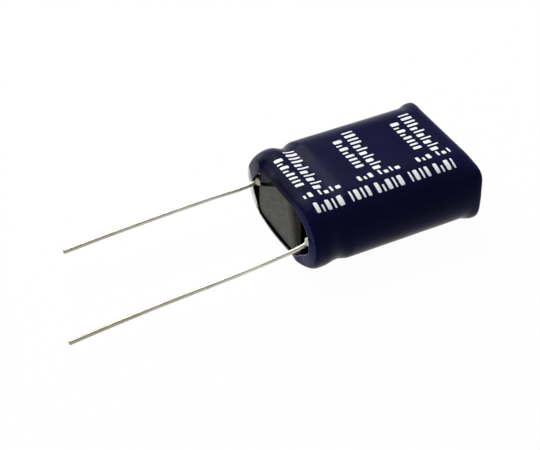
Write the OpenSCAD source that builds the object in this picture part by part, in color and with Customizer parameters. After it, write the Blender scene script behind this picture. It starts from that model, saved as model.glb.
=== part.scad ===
// Supercapacitor: two wound radial-lead cells in series, side by side in one shrink sleeve.
// Lengths are in millimetres and angles in degrees. The pack lies on one flat side.
// +Y runs from the leads to the closed ends, +X from the negative to the positive cell, +Z up.
// The origin is the middle of the flat side that the pack lies on.

/* [Cans] */
// Outer diameter of each can
can_d = 8; // [7:0.1:12.5]
// Length of each can, from its curled rim to its closed end
can_len = 19.65; // [15:0.05:32]
// Thickness of the drawn aluminium
can_wall = 0.25; // [0.15:0.01:0.35]
// Outside radius of the corner round the closed end
can_corner_r = 0.6; // [0.4:0.05:1]
// Length of each of the two crossed score lines that let the closed end open
vent_len = 4.4; // [2:0.1:5]
// Width of a score line
vent_w = 0.3; // [0.15:0.05:0.5]
// Depth of a score line
vent_depth = 0.08; // [0.04:0.01:0.12]
// Turn of the score lines about the can's axis
vent_turn = 45; // [0:5:90]

/* [Crimped seals] */
// Outside radius of the curled rim
curl_r = 0.55; // [0.45:0.01:0.7]
// How far the rim curls on past its front
curl_over = 60; // [40:1:80]
// Width of the bead that grips the seal
bead_w = 2.8; // [1.8:0.1:3.2]
// Depth of the bead
bead_depth = 0.55; // [0.4:0.05:0.8]
// Length of the seal in front of the bead, and again behind it
seal_shoulder = 0.75; // [0.3:0.05:1.6]
// Chamfer on the seal's two edges
seal_chamfer = 0.25; // [0.2:0.05:0.3]

/* [Terminals] */
// Distance between the two terminals of a cell
lead_pitch = 3.5; // [2.5:0.1:4.5]
// Diameter of a terminal where it passes through the seal
boss_d = 1.2; // [0.9:0.1:1.5]
// Length over which a terminal tapers behind the seal
boss_taper = 0.5; // [0.3:0.05:0.8]
// Width of the flat blade inside the winding
blade_w = 1.8; // [1.2:0.1:2.2]
// Thickness of the blade
blade_t = 0.25; // [0.15:0.01:0.35]
// How far a blade ends short of the winding's far end
blade_short = 1.5; // [0.5:0.1:3]

/* [Windings] */
// Diameter of the hole that the winding spindle leaves
spindle_d = 1; // [0.6:0.1:1.4]
// Free length between the seal and the winding
winding_head = 1; // [0.7:0.1:2]
// Free length between the winding and the closed end
winding_foot = 0.3; // [0.1:0.05:1]
// Width of the tape that closes the winding
tape_w = 9; // [4:0.5:12]
// Thickness of the tape
tape_t = 0.06; // [0.04:0.01:0.1]

/* [Leads] */
// Diameter of the tinned wire
wire_d = 0.5; // [0.4:0.05:0.6]
// How far the positive lead reaches out of the sleeve
positive_reach = 26.7; // [12:0.1:40]
// How far the negative lead reaches out of the sleeve
negative_reach = 22.7; // [12:0.1:40]
// Length of the positive lead from its terminal to its kink
positive_base = 5.7; // [2:0.1:8]
// Length of the negative lead from its terminal to its kink
negative_base = 2.1; // [2:0.1:8]
// Angle of the positive lead below level, before the kink
positive_base_angle = 10.4; // [2:0.1:12]
// Angle of the negative lead below level, before the kink
negative_base_angle = 6.8; // [2:0.1:12]
// Angle of the positive lead below level, from the kink to its end
positive_angle = 4.3; // [0:0.1:6]
// Angle of the negative lead below level, from the kink to its end
negative_angle = 2.7; // [0:0.1:6]
// Swelling of the wire at its kink
kink_swell = 0.01; // [0.005:0.005:0.03]
// Chamfer at the cut end of a lead
tip_chamfer = 0.08; // [0.04:0.01:0.15]
// Length of the weld foot that joins a lead to its terminal
foot_len = 0.85; // [0.4:0.05:1]
// Weld metal round the wire at the front of the foot
foot_wall = 0.12; // [0.06:0.01:0.2]
// Step from the edge of the terminal to the back of the foot
foot_edge = 0.05; // [0.02:0.01:0.1]
// Distance from the terminal to the end of the wire inside the foot
foot_grip = 0.1; // [0.06:0.01:0.2]

/* [Series link] */
// Radius of the bend that lays an inner wire flat, at the middle of the wire
link_bend_r = 0.35; // [0.32:0.01:0.5]
// Length over which the two inner wires lie side by side
link_lap = 2.4; // [1.5:0.1:3]
// Length of the solder in the middle of the lap
solder_len = 1; // [0.5:0.1:1.4]
// Thickness of the solder, along the pack
solder_t = 0.4; // [0.3:0.02:0.44]
// Gap between the two wires, which the solder fills
solder_gap = 0.04; // [0.02:0.01:0.1]

/* [Insulator card] */
// Thickness of the card
card_t = 0.25; // [0.15:0.05:0.5]
// Distance of the card behind the front of the sleeve
card_recess = 0.3; // [0.2:0.05:0.6]
// Gap between the card's ends and the terminals
card_end_gap = 0.45; // [0.2:0.05:1]
// Gap between the card's long edges and the sleeve's mouth
card_side_gap = 0.35; // [0.2:0.05:1]
// How far the card sits above the middle of the mouth
card_lift = 0.15; // [0:0.05:0.2]
// Corner radius of the card
card_corner_r = 1.2; // [0.5:0.1:2]

/* [Films] */
// Thickness of the film round each can
cell_film_t = 0.08; // [0.05:0.01:0.15]
// How far the cell's film follows the curled rim past its front
cell_film_curl = 50; // [20:1:60]
// How far the cell's film covers the flat of the closed end
cell_film_fold = 0.6; // [0.3:0.1:1.5]
// Gap between the films of the two cells
cell_gap = 0.1; // [0.05:0.05:0.5]
// Thickness of the outer sleeve
sleeve_t = 0.15; // [0.1:0.01:0.25]
// Length over which the sleeve's lip rolls in
lip_len = 1.25; // [0.8:0.05:1.8]
// Depth that the lip rolls in by before it lies flat
lip_depth = 0.75; // [0.5:0.05:1.2]
// Depth of the sleeve's fold over the long edges of its mouth
mouth_fold = 0.92; // [0.7:0.02:1.4]
// Depth of the sleeve's fold over the round ends of its mouth
mouth_end_fold = 1.68; // [1.4:0.02:2]
// Outside radius of the sleeve's edge at the closed end
back_r = 0.45; // [0.3:0.05:0.7]
// How far the sleeve covers the flat of the closed end
back_fold = 0.8; // [0.4:0.1:1.5]
// How much less each film follows the bead than what lies under it
film_bridge = 0.08; // [0.05:0.01:0.12]

/* [Fits] */
// Clearance under each film
film_gap = 0.02; // [0.01:0.01:0.05]
// Clearance round the seal and its terminals
seal_gap = 0.02; // [0.01:0.01:0.04]
// Clearance round the winding, its tape and its blades
winding_gap = 0.05; // [0.02:0.01:0.1]
// Clearance of the inner wires from the card in front of them and the films behind them
seat_gap = 0.01; // [0.005:0.005:0.05]

/* [Hidden] */
$fn = 64;
arc_steps = 8;
dip_steps = 16;
// Overlap of shapes that are joined or cut, and of a cutter past its face
bite = 0.1;
quarter = 90;

sleeve_colour = [0.11, 0.11, 0.22];
cell_film_colour = [0.06, 0.06, 0.07];
card_colour = [0.33, 0.32, 0.31];
aluminium_colour = [0.78, 0.79, 0.8];
tinned_colour = [0.72, 0.71, 0.66];
solder_colour = [0.6, 0.6, 0.58];
rubber_colour = [0.09, 0.09, 0.09];
winding_colour = [0.82, 0.79, 0.71];
tape_colour = [0.74, 0.62, 0.28];

// Radii and places across the pack
can_r = can_d / 2;
can_bore_r = can_r - can_wall;
cell_r = can_r + film_gap + cell_film_t;
cell_pitch = 2 * cell_r + cell_gap;
sleeve_r = cell_r + film_gap + sleeve_t;
seal_r = can_bore_r - seal_gap;
tape_r = can_bore_r - winding_gap;
winding_r = tape_r - tape_t - winding_gap;
lead_x = cell_pitch / 2 + lead_pitch / 2;
link_x = cell_pitch / 2 - lead_pitch / 2;

// Places along the pack. Each s is a distance from the front of the sleeve towards the closed ends.
card_s = card_recess;
link_s = card_s + card_t + seat_gap + wire_d / 2;
boss_s = link_s + link_bend_r;
rim_s = link_s + wire_d / 2 + seat_gap + cell_film_t + film_gap;
curl_depth = curl_r - (curl_r - can_wall) * cos(curl_over);
seal_s = rim_s + curl_depth + seal_gap;
seal_len = bead_w + 2 * seal_shoulder;
seal_back_s = seal_s + seal_len;
bead_s = seal_s + seal_len / 2;
can_back_s = rim_s + can_len;
winding_s = seal_back_s + winding_head;
winding_back_s = can_back_s - can_wall - winding_foot;
blade_back_s = winding_back_s - blade_short;
sleeve_len = can_back_s + 2 * film_gap + cell_film_t + sleeve_t;

// Half height and half length of the sleeve's mouth
mouth_h = sleeve_r - mouth_fold;
mouth_l = cell_pitch / 2 + sleeve_r - mouth_end_fold;
card_h = mouth_h - card_side_gap;
card_l = lead_x - boss_d / 2 - card_end_gap;
card_round = min(card_corner_r, card_h - bite);

// Outlines are lists of [radius, s] points
function unit(v) = v / norm(v);
function left_of(v) = [-v[1], v[0]];
function reversed(p) = [for (i = [len(p) - 1 : -1 : 0]) p[i]];

// An arc with radius r across the pack and length l along it
function oval(centre, r, l, from, to) = [
    for (i = [0 : arc_steps])
        let (a = from + (to - from) * i / arc_steps)
        centre + [r * cos(a), l * sin(a)]
];
function arc(centre, r, from, to) = oval(centre, r, r, from, to);

// A wall at radius r that dips inwards as one wave of a cosine
function dip(r, s, w, depth) = [
    for (i = [0 : dip_steps])
        let (u = i / dip_steps)
        [r - depth * (1 - cos(360 * u)) / 2, s + (u - 0.5) * w]
];

// The line p moved to its left by d, with mitred corners
function shifted(p, d) = [
    for (i = [0 : len(p) - 1])
        let (a = unit(i > 0 ? p[i] - p[i - 1] : p[1] - p[0]))
        let (b = unit(i < len(p) - 1 ? p[i + 1] - p[i] : p[i] - p[i - 1]))
        p[i] + d * (left_of(a) + left_of(b)) / (1 + a * b)
];

// A sheet of thickness t with p as its middle line
function sheet(p, t) = concat(shifted(p, t / 2), reversed(shifted(p, -t / 2)));

// The can's bead, on the middle of its wall
bead_line = dip(can_r - can_wall / 2, bead_s, bead_w, bead_depth);

can_line = concat(
    arc([can_r - curl_r, rim_s + curl_r], curl_r - can_wall / 2, -quarter - curl_over, 0),
    bead_line,
    arc([can_r - can_corner_r, can_back_s - can_corner_r], can_corner_r - can_wall / 2, 0, quarter),
    [[0, can_back_s - can_wall / 2]]
);

cell_film_mid = film_gap + cell_film_t / 2;
cell_film_line = concat(
    arc([can_r - curl_r, rim_s + curl_r], curl_r + cell_film_mid, -quarter - cell_film_curl, 0),
    dip(can_r + cell_film_mid, bead_s, bead_w - film_bridge, bead_depth - film_bridge),
    arc([can_r - can_corner_r, can_back_s - can_corner_r], can_corner_r + cell_film_mid, 0, quarter),
    [[can_r - can_corner_r - cell_film_fold, can_back_s + cell_film_mid]]
);

sleeve_line = concat(
    [[sleeve_r - mouth_end_fold - bite, sleeve_t / 2]],
    oval([sleeve_r - lip_depth, lip_len], lip_depth - sleeve_t / 2, lip_len - sleeve_t / 2, -quarter, 0),
    dip(sleeve_r - sleeve_t / 2, bead_s, bead_w - 2 * film_bridge, bead_depth - 2 * film_bridge),
    arc([sleeve_r - back_r, sleeve_len - back_r], back_r - sleeve_t / 2, 0, quarter),
    [[sleeve_r - back_r - back_fold, sleeve_len - sleeve_t / 2]]
);

seal_edge = min(seal_chamfer, seal_shoulder);
seal_outline = concat(
    [[0, seal_s], [seal_r - seal_edge, seal_s], [seal_r, seal_s + seal_edge]],
    shifted(bead_line, can_wall / 2 + seal_gap),
    [[seal_r, seal_back_s - seal_edge], [seal_r - seal_edge, seal_back_s], [0, seal_back_s]]
);

// Pieces are drawn along the pack's axis: x across, z along s and y downwards. This lays them down.
module lay_down() {
    translate([0, -sleeve_len / 2, sleeve_r])
        rotate([-90, 0, 0])
        children();
}

// The place of one cell, with side 1 for the positive and -1 for the negative
module in_cell(side) {
    lay_down()
        translate([side * cell_pitch / 2, 0, 0])
        children();
}

// The front of a terminal at x, with z pointing out of the pack and y upwards
module on_terminal(x) {
    lay_down()
        translate([x, 0, boss_s])
        rotate([180, 0, 0])
        children();
}

// Two half turns of the wall round the cells, joined by its two flat runs
module outer_sleeve() {
    color(sleeve_colour)
        lay_down()
        difference() {
            union() {
                for (side = [-1, 1]) {
                    translate([side * cell_pitch / 2, 0, 0])
                        rotate([0, 0, -quarter * side])
                        rotate_extrude(angle = 180)
                        polygon(sheet(sleeve_line, sleeve_t));
                    rotate([0, 0, quarter - quarter * side])
                        translate([-cell_pitch / 2, 0, 0])
                        rotate([90, 0, 90])
                        linear_extrude(cell_pitch)
                        polygon(sheet(sleeve_line, sleeve_t));
                }
            }
            translate([0, 0, -bite])
                linear_extrude(lip_len + bite)
                racetrack(mouth_l, mouth_h);
        }
}

// A flat outline with round ends, by its half length and half height
module racetrack(half_l, half_h) {
    for (side = [-1, 1])
        translate([side * (half_l - half_h), 0])
            circle(half_h);
    square([2 * (half_l - half_h), 2 * half_h], center = true);
}

module insulator_card() {
    color(card_colour)
        lay_down()
        translate([0, -card_lift, card_s])
        linear_extrude(card_t) {
            for (x = [-1, 1], y = [-1, 1])
                translate([x * (card_l - card_round), y * (card_h - card_round)])
                    circle(card_round);
            square([2 * (card_l - card_round), 2 * card_h], center = true);
            square([2 * card_l, 2 * (card_h - card_round)], center = true);
        }
}

// The inner wires leave both cells, turn towards each other and run side by side.
// Turned by this angle about their terminals, they lie one wire and the solder's gap apart.
link_space = wire_d + solder_gap;
link_turn = asin(link_space / (2 * link_x));
link_run = link_x * cos(link_turn) - link_bend_r + link_lap / 2;

module link_wire(side) {
    color(tinned_colour)
        on_terminal(side * link_x)
        rotate([0, 0, link_turn + quarter * (side + 1)])
        translate([link_bend_r, 0, 0]) {
            rotate([90, 0, 180])
                rotate_extrude(angle = quarter)
                translate([link_bend_r, 0])
                circle(d = wire_d);
            translate([0, 0, link_bend_r])
                rotate([0, 90, 0])
                cylinder(h = link_run, d = wire_d);
        }
}

// The solder fills the grooves on both sides of the lap
module link_solder() {
    color(solder_colour)
        on_terminal(0)
        rotate([0, 0, link_turn])
        translate([0, 0, link_bend_r])
        difference() {
            cube([solder_len, link_space, solder_t], center = true);
            for (side = [-1, 1])
                translate([0, side * link_space / 2, 0])
                    rotate([0, 90, 0])
                    cylinder(h = solder_len + bite, d = wire_d, center = true);
        }
}

// A lead: a weld foot on the terminal, a short sloping base, and a straight run past the kink
module lead(x, reach, base, base_angle, end_angle) {
    run = (boss_s + reach - foot_grip - base * cos(base_angle)) / cos(end_angle);
    color(tinned_colour)
        on_terminal(x) {
            cylinder(h = foot_len, d1 = boss_d - 2 * foot_edge, d2 = wire_d + 2 * foot_wall);
            translate([0, 0, foot_grip])
                rotate([base_angle, 0, 0]) {
                    cylinder(h = base, d = wire_d);
                    translate([0, 0, base]) {
                        sphere(d = wire_d + 2 * kink_swell);
                        rotate([end_angle - base_angle, 0, 0])
                            wire_run(run);
                    }
                }
        }
}

module positive_lead() {
    lead(lead_x, positive_reach, positive_base, positive_base_angle, positive_angle);
}

module negative_lead() {
    lead(-lead_x, negative_reach, negative_base, negative_base_angle, negative_angle);
}

module wire_run(length) {
    cylinder(h = length - tip_chamfer, d = wire_d);
    translate([0, 0, length - tip_chamfer])
        cylinder(h = tip_chamfer, d1 = wire_d, d2 = wire_d - 2 * tip_chamfer);
}

// A terminal: a round boss through the seal, drawn down to a flat blade in the winding
module tab(x) {
    color(aluminium_colour)
        lay_down()
        translate([x, 0, 0]) {
            translate([0, 0, boss_s])
                cylinder(h = seal_back_s - boss_s, d = boss_d);
            translate([0, 0, seal_back_s])
                cylinder(h = boss_taper, d1 = boss_d, d2 = blade_t + bite);
            rotate([90, 0, 90])
                linear_extrude(blade_t, center = true)
                polygon([
                    [-boss_d / 2 + bite, seal_back_s],
                    [boss_d / 2 - bite, seal_back_s],
                    [blade_w / 2, seal_back_s + boss_taper],
                    [blade_w / 2, blade_back_s],
                    [-blade_w / 2, blade_back_s],
                    [-blade_w / 2, seal_back_s + boss_taper],
                ]);
        }
}

module seal(side) {
    color(rubber_colour)
        in_cell(side)
        difference() {
            rotate_extrude()
                polygon(seal_outline);
            for (x = [-1, 1])
                translate([x * lead_pitch / 2, 0, seal_s - bite])
                    cylinder(h = seal_len + 2 * bite, d = boss_d + 2 * seal_gap);
        }
}

module can(side) {
    color(aluminium_colour)
        in_cell(side)
        difference() {
            rotate_extrude()
                polygon(sheet(can_line, can_wall));
            for (turn = [vent_turn, vent_turn + quarter])
                translate([0, 0, can_back_s + bite / 2 - vent_depth / 2])
                    rotate([0, 0, turn])
                    cube([vent_len, vent_w, vent_depth + bite], center = true);
        }
}

module cell_film(side) {
    color(cell_film_colour)
        in_cell(side)
        rotate_extrude()
        polygon(sheet(cell_film_line, cell_film_t));
}

// The roll, with its spindle hole and a slot for each blade
module winding(side) {
    slot_w = blade_w + 2 * winding_gap;
    slot_t = blade_t + 2 * winding_gap;
    slot_len = blade_back_s + winding_gap - winding_s + bite;
    color(winding_colour)
        in_cell(side)
        difference() {
            translate([0, 0, winding_s])
                cylinder(h = winding_back_s - winding_s, r = winding_r);
            translate([0, 0, winding_s - bite])
                cylinder(h = winding_back_s - winding_s + 2 * bite, d = spindle_d);
            for (x = [-1, 1])
                translate([x * lead_pitch / 2 - slot_t / 2, -slot_w / 2, winding_s - bite])
                    cube([slot_t, slot_w, slot_len]);
        }
}

module winding_tape(side) {
    middle_s = (winding_s + winding_back_s) / 2;
    color(tape_colour)
        in_cell(side)
        translate([0, 0, middle_s - tape_w / 2])
        difference() {
            cylinder(h = tape_w, r = tape_r);
            translate([0, 0, -bite])
                cylinder(h = tape_w + 2 * bite, r = tape_r - tape_t);
        }
}

outer_sleeve();
insulator_card();
link_solder();
link_wire(1);  // positive_link_wire
link_wire(-1);  // negative_link_wire
positive_lead();
negative_lead();
tab(lead_x);  // positive_tab
tab(-lead_x);  // negative_tab
tab(link_x);  // positive_link_tab
tab(-link_x);  // negative_link_tab
seal(1);  // positive_seal
seal(-1);  // negative_seal
can(1);  // positive_can
can(-1);  // negative_can
cell_film(1);  // positive_cell_film
cell_film(-1);  // negative_cell_film
winding(1);  // positive_winding
winding(-1);  // negative_winding
winding_tape(1);  // positive_winding_tape
winding_tape(-1);  // negative_winding_tape
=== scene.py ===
import bpy
import bmesh
import numpy as np
from mathutils import Matrix


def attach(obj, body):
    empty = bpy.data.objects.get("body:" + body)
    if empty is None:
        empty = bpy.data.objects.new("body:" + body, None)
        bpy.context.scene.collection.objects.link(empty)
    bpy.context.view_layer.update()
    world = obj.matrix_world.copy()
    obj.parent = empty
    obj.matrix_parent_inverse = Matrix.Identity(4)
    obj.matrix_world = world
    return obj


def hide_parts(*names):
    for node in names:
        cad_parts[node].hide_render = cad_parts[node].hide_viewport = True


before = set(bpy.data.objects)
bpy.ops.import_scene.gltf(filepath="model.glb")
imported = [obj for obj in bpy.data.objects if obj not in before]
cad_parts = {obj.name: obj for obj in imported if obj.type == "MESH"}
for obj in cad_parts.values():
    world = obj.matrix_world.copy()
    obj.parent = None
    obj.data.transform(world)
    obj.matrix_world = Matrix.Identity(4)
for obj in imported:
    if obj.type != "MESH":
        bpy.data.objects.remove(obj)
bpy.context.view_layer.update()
print("frame loaded with", len(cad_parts), "nodes")

mm = 0.001

# the pack in millimetres: s runs from the front of the sleeve to the closed ends, y = s - half the length
pack = {"length": 21.09, "axisHeight": 4.27, "halfPitch": 4.15, "leadX": 5.9}


# camera: its place and its axes, at the photo's viewing angle
shot = {
    "place": (100.402, -63.266, 96.690),
    "right": (0.45837, 0.88876, 0.0),
    "up": (-0.56818, 0.29303, 0.76896),
    "back": (0.68343, -0.35247, 0.63929),
    "lens": 89.43,
}


def setCamera():
    data = bpy.data.cameras.new("camera")
    data.sensor_fit = "HORIZONTAL"
    data.sensor_width = 36.0
    data.lens = shot["lens"]
    data.clip_start = 0.001
    data.clip_end = 10.0
    camera = bpy.data.objects.new("camera", data)
    bpy.context.scene.collection.objects.link(camera)
    columns = np.array([shot["right"], shot["up"], shot["back"], np.array(shot["place"]) * mm]).T
    camera.matrix_world = Matrix(np.vstack([columns, [0, 0, 0, 1]]).tolist())
    bpy.context.scene.camera = camera


setCamera()
print("camera set")


# grid helpers

def gridFaces(rows, columns, wrapRows, wrapColumns):
    # the four corners of every cell of a rows by columns grid; a wrapped side joins its last line to its first
    index = np.arange(rows * columns).reshape(rows, columns)
    if wrapRows:
        index = np.vstack([index, index[:1]])
    if wrapColumns:
        index = np.hstack([index, index[:, :1]])
    return np.stack([index[:-1, :-1], index[:-1, 1:], index[1:, 1:], index[1:, :-1]], -1).reshape(-1, 4)


def makePiece(name, points, faces, material, attributes=None):
    # points in millimetres become a smooth mesh; lines that meet in one point are merged into a pole
    mesh = bpy.data.meshes.new(name)
    mesh.from_pydata((points * mm).tolist(), [], faces.tolist())
    for key, values in (attributes or {}).items():
        layer = mesh.attributes.new(key, "FLOAT", "POINT")
        layer.data.foreach_set("value", values.astype(np.float32))
    form = bmesh.new()
    form.from_mesh(mesh)
    bmesh.ops.remove_doubles(form, verts=form.verts, dist=2e-7)
    bmesh.ops.recalc_face_normals(form, faces=form.faces)
    form.to_mesh(mesh)
    form.free()
    mesh.polygons.foreach_set("use_smooth", np.ones(len(mesh.polygons), bool))
    mesh.materials.append(material)
    piece = bpy.data.objects.new(name, mesh)
    bpy.context.scene.collection.objects.link(piece)
    return piece


def smoothStep(low, high, value):
    # 0 below low, 1 above high, and the cubic 3t^2 - 2t^3 between them
    t = np.clip((value - low) / (high - low), 0, 1)
    return t * t * (3 - 2 * t)


def hill(value, centre, width):
    # bell curve of height 1
    return np.exp(-((value - centre) / width) ** 2)


# shader helpers

def newGroup(name, inputs, outputs):
    group = bpy.data.node_groups.new(name, "ShaderNodeTree")
    for label, kind, value in inputs:
        socket = group.interface.new_socket(label, in_out="INPUT", socket_type=kind)
        if value is not None:
            socket.default_value = value
    for label, kind in outputs:
        group.interface.new_socket(label, in_out="OUTPUT", socket_type=kind)
    return group, group.nodes.new("NodeGroupInput"), group.nodes.new("NodeGroupOutput")


def mottleGroup():
    # two noises, one broad and one fine, mixed into a mask and a height
    group, inside, outside = newGroup(
        "mottle",
        [("Vector", "NodeSocketVector", None), ("Broad", "NodeSocketFloat", 80.0),
         ("Fine", "NodeSocketFloat", 900.0), ("Share", "NodeSocketFloat", 0.4)],
        [("Mask", "NodeSocketFloat"), ("Height", "NodeSocketFloat")])
    link = group.links.new
    broad = group.nodes.new("ShaderNodeTexNoise")
    broad.inputs["Detail"].default_value = 3.0
    fine = group.nodes.new("ShaderNodeTexNoise")
    fine.inputs["Detail"].default_value = 2.0
    mix = group.nodes.new("ShaderNodeMix")
    link(inside.outputs["Vector"], broad.inputs["Vector"])
    link(inside.outputs["Broad"], broad.inputs["Scale"])
    link(inside.outputs["Vector"], fine.inputs["Vector"])
    link(inside.outputs["Fine"], fine.inputs["Scale"])
    link(inside.outputs["Share"], mix.inputs[0])
    link(broad.outputs[0], mix.inputs[2])
    link(fine.outputs[0], mix.inputs[3])
    link(mix.outputs[0], outside.inputs["Mask"])
    link(fine.outputs[0], outside.inputs["Height"])
    return group


def drawnGroup():
    # noise stretched along one direction: the lines that drawing or rolling leaves
    group, inside, outside = newGroup(
        "drawn",
        [("Vector", "NodeSocketVector", None), ("Stretch", "NodeSocketVector", (1.0, 0.03, 1.0)),
         ("Scale", "NodeSocketFloat", 6000.0)],
        [("Mask", "NodeSocketFloat"), ("Height", "NodeSocketFloat")])
    link = group.links.new
    stretch = group.nodes.new("ShaderNodeVectorMath")
    stretch.operation = "MULTIPLY"
    lines = group.nodes.new("ShaderNodeTexNoise")
    lines.inputs["Detail"].default_value = 4.0
    ramp = group.nodes.new("ShaderNodeMapRange")
    ramp.inputs["From Min"].default_value = 0.3
    ramp.inputs["From Max"].default_value = 0.7
    link(inside.outputs["Vector"], stretch.inputs[0])
    link(inside.outputs["Stretch"], stretch.inputs[1])
    link(stretch.outputs[0], lines.inputs["Vector"])
    link(inside.outputs["Scale"], lines.inputs["Scale"])
    link(lines.outputs[0], ramp.inputs["Value"])
    link(ramp.outputs[0], outside.inputs["Mask"])
    link(lines.outputs[0], outside.inputs["Height"])
    return group


mottle = mottleGroup()
drawn = drawnGroup()


def newMaterial(name):
    material = bpy.data.materials.new(name)
    material.use_nodes = True
    nodes = material.node_tree.nodes
    shader = nodes["Principled BSDF"]
    where = nodes.new("ShaderNodeTexCoord")
    return material, nodes, material.node_tree.links.new, shader, where


def placeGroup(nodes, link, group, vector, **values):
    node = nodes.new("ShaderNodeGroup")
    node.node_tree = group
    link(vector, node.inputs["Vector"])
    for label, value in values.items():
        node.inputs[label].default_value = value
    return node


def rampColour(nodes, link, mask, dark, light, low=0.3, high=0.7):
    ramp = nodes.new("ShaderNodeValToRGB")
    ramp.color_ramp.elements[0].position = low
    ramp.color_ramp.elements[0].color = (*dark, 1)
    ramp.color_ramp.elements[1].position = high
    ramp.color_ramp.elements[1].color = (*light, 1)
    link(mask, ramp.inputs[0])
    return ramp.outputs[0]


def rampValue(nodes, link, mask, low, high, start=0.3, stop=0.7):
    ramp = nodes.new("ShaderNodeMapRange")
    ramp.inputs["From Min"].default_value = start
    ramp.inputs["From Max"].default_value = stop
    ramp.inputs["To Min"].default_value = low
    ramp.inputs["To Max"].default_value = high
    link(mask, ramp.inputs["Value"])
    return ramp.outputs[0]


def mixByAttribute(nodes, link, name, colour, other):
    # the first colour where the mesh's attribute is 0, the other where it is 1
    share = nodes.new("ShaderNodeAttribute")
    share.attribute_name = name
    mix = nodes.new("ShaderNodeMix")
    mix.data_type = "RGBA"
    link(share.outputs["Fac"], mix.inputs[0])
    link(colour, mix.inputs[6])
    mix.inputs[7].default_value = (*other, 1)
    return mix.outputs[2]


def glossByAttribute(nodes, link, shader, name, gloss, other):
    # specular level: the first value where the mesh's attribute is 0, the other where it is 1
    share = nodes.new("ShaderNodeAttribute")
    share.attribute_name = name
    level = rampValue(nodes, link, share.outputs["Fac"], gloss, other, 0, 1)
    link(level, shader.inputs["Specular IOR Level"])


def addBump(nodes, link, shader, height, strength, distance):
    bump = nodes.new("ShaderNodeBump")
    bump.inputs["Strength"].default_value = strength
    bump.inputs["Distance"].default_value = distance
    link(height, bump.inputs["Height"])
    link(bump.outputs[0], shader.inputs["Normal"])


# finishes

# dark and light are the limits of the tone, rough those of the roughness, broad and fine the scales of its mottle
film = {
    # after dark and light come the painted shade's colour, a bluer tone that is partly painted highlight, and a pale
    # tone that is mostly painted highlight
    "dark": (0.0055, 0.0053, 0.0285), "light": (0.0071, 0.0069, 0.0370), "shadeColour": (0.0014, 0.0014, 0.004),
    "thinnedAndHighlight": (0.009, 0.0083, 0.092), "pale": (0.88, 0.87, 0.82), "rough": (0.20, 0.30),
    "ior": 1.13, "headOn": (0.28, 0.24, 0.255), "gloss": 0.5, "shadeGloss": 0.08,
    "broad": 140.0, "fine": 2600.0, "share": 0.25, "bump": 0.12,
}
ink = {
    "dark": (0.78, 0.78, 0.82), "light": (0.92, 0.92, 0.94), "rough": (0.42, 0.55), "gloss": 0.3,
    "broad": 900.0, "fine": 5000.0, "share": 0.5,
}
metal = {"stain": (0.27, 0.25, 0.16), "lines": 9000.0, "broad": 420.0, "fine": 5200.0, "share": 0.35, "bump": 0.15}
board = {
    # after dark and light come a painted light tone and a painted shade tone, which has less gloss
    "dark": (0.028, 0.0275, 0.022), "light": (0.043, 0.0415, 0.0345), "paintedLight": (0.074, 0.0735, 0.063),
    "nearEndShade": (0.012, 0.009, 0.0075), "rough": (0.42, 0.58), "gloss": 0.22, "nearEndShadeGloss": 0.02,
    "fibreStretch": (0.25, 1.0, 1.0), "fibres": 5200.0, "broad": 260.0, "fine": 4200.0, "share": 0.5, "bump": 0.2,
}
soft = {"share": 0.45, "roughSpread": 0.06}
# heights of the bumps in metres
relief = {"soft": 0.00002, "metal": 0.00001}


def placeMottle(nodes, link, where, look):
    return placeGroup(nodes, link, mottle, where.outputs["Object"],
                      Broad=look["broad"], Fine=look["fine"], Share=look["share"])


def filmFinish():
    # dark blue shrink film: faint tone changes, a fine orange-peel surface, paler at its cut edges, painted
    # highlights round the mouth's rim and lips, and painted shade along the lower rim and upper lip
    material, nodes, link, shader, where = newMaterial("blue_film")
    tone = placeMottle(nodes, link, where, film)
    colour = rampColour(nodes, link, tone.outputs["Mask"], film["dark"], film["light"])
    # bluer tone round the near lip, partly painted highlight
    colour = mixByAttribute(nodes, link, "thinnedAndHighlight", colour, film["thinnedAndHighlight"])
    # painted shade along the lower rim and the upper lip
    colour = mixByAttribute(nodes, link, "paintedShade", colour, film["shadeColour"])
    # pale cut edges, and painted highlights and reflections round the mouth's rim and far lip
    link(mixByAttribute(nodes, link, "paleAndHighlight", colour, film["pale"]), shader.inputs["Base Color"])
    link(rampValue(nodes, link, tone.outputs["Mask"], *film["rough"]), shader.inputs["Roughness"])
    shader.inputs["IOR"].default_value = film["ior"]
    # less gloss in the painted shade
    glossByAttribute(nodes, link, shader, "paintedShade", film["gloss"], film["shadeGloss"])
    shader.inputs["Specular Tint"].default_value = (*film["headOn"], 1)
    addBump(nodes, link, shader, tone.outputs["Height"], film["bump"], relief["soft"])
    return material


def inkFinish():
    material, nodes, link, shader, where = newMaterial("white_ink")
    tone = placeMottle(nodes, link, where, ink)
    link(rampColour(nodes, link, tone.outputs["Mask"], ink["dark"], ink["light"]), shader.inputs["Base Color"])
    link(rampValue(nodes, link, tone.outputs["Mask"], *ink["rough"]), shader.inputs["Roughness"])
    shader.inputs["Specular IOR Level"].default_value = ink["gloss"]
    return material


def wireFinish(name, dark, light, stretch, roughLow, roughHigh):
    # bare metal with drawing lines and a few dull smudges, browner where it is stained
    material, nodes, link, shader, where = newMaterial(name)
    lines = placeGroup(nodes, link, drawn, where.outputs["Object"], Stretch=stretch, Scale=metal["lines"])
    smudge = placeMottle(nodes, link, where, metal)
    colour = rampColour(nodes, link, smudge.outputs["Mask"], dark, light)
    link(mixByAttribute(nodes, link, "stained", colour, metal["stain"]), shader.inputs["Base Color"])
    link(rampValue(nodes, link, lines.outputs["Mask"], roughLow, roughHigh), shader.inputs["Roughness"])
    shader.inputs["Metallic"].default_value = 1.0
    addBump(nodes, link, shader, lines.outputs["Height"], metal["bump"], relief["metal"])
    return material


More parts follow.
